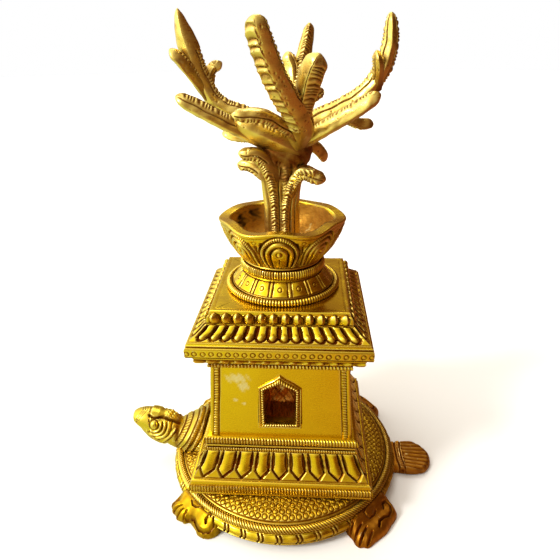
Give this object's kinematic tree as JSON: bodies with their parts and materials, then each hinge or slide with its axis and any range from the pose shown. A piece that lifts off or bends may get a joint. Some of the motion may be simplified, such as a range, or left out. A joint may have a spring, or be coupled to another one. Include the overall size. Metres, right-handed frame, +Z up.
{
  "type": "votive altar stand",
  "caption": "Cast brass altar stand: a tortoise bears a square shrine tower with a lamp niche, a petalled eave, a lotus bowl and a lift-off branching tree.",
  "frame": {"origin": "middle of the square tower's plan, on the surface the feet stand on", "axes": "+Z up through the tower, -Y out of the niche, -X the way the tortoise looks"},
  "size_m": [0.1647, 0.1212, 0.2251],
  "materials": {
    "polished_brass": "polished, with dark patina in the cut ornament",
    "chased_brass": "chased and part-polished, dark in the grooves",
    "cast_brass": "cast, hand-filed and buffed on the high edges",
    "dark_brass": "rough unpolished casting skin",
    "steel": "zinc-plated"
  },
  "bodies": {
    "stand": {"carapace": "chased_brass", "marginal_rim": "chased_brass", "rope_band": "chased_brass", "head_and_neck": "chased_brass", "tail": "chased_brass", "front_left_foot": "chased_brass", "front_right_foot": "chased_brass", "rear_left_foot": "chased_brass", "rear_right_foot": "chased_brass", "plinth_base_band": "polished_brass", "plinth_petal_course": "polished_brass", "plinth_moulding": "polished_brass", "tower_body": "polished_brass", "tower_corner_beading": "chased_brass", "niche_frame": "chased_brass", "niche_pocket": "dark_brass", "tower_cap_band": "chased_brass", "eave_soffit": "polished_brass", "eave_edge": "polished_brass", "roof_petal_course": "polished_brass", "roof_lobe_course": "polished_brass", "roof_deck": "polished_brass", "bowl_foot_ring": "chased_brass", "bowl_foot": "polished_brass", "bowl_waist": "chased_brass", "lotus_bowl": "polished_brass", "tree_socket": "dark_brass", "tie_rod": "steel", "tie_rod_nut": "steel", "tie_rod_washer": "steel"},
    "tree": {"trunk": "cast_brass", "left_branch": "cast_brass", "right_branch": "cast_brass", "front_branch": "cast_brass", "back_branch": "cast_brass", "left_branch_leaves": "cast_brass", "right_branch_leaves": "cast_brass", "front_branch_leaves": "cast_brass", "back_branch_leaves": "cast_brass", "trunk_leaves": "cast_brass"}
  },
  "joints": [
    {"name": "tree_lift", "type": "slide", "parent": "stand", "child": "tree", "axis": [0, 0, 1], "range_m": [0, 0.03]}
  ]
}
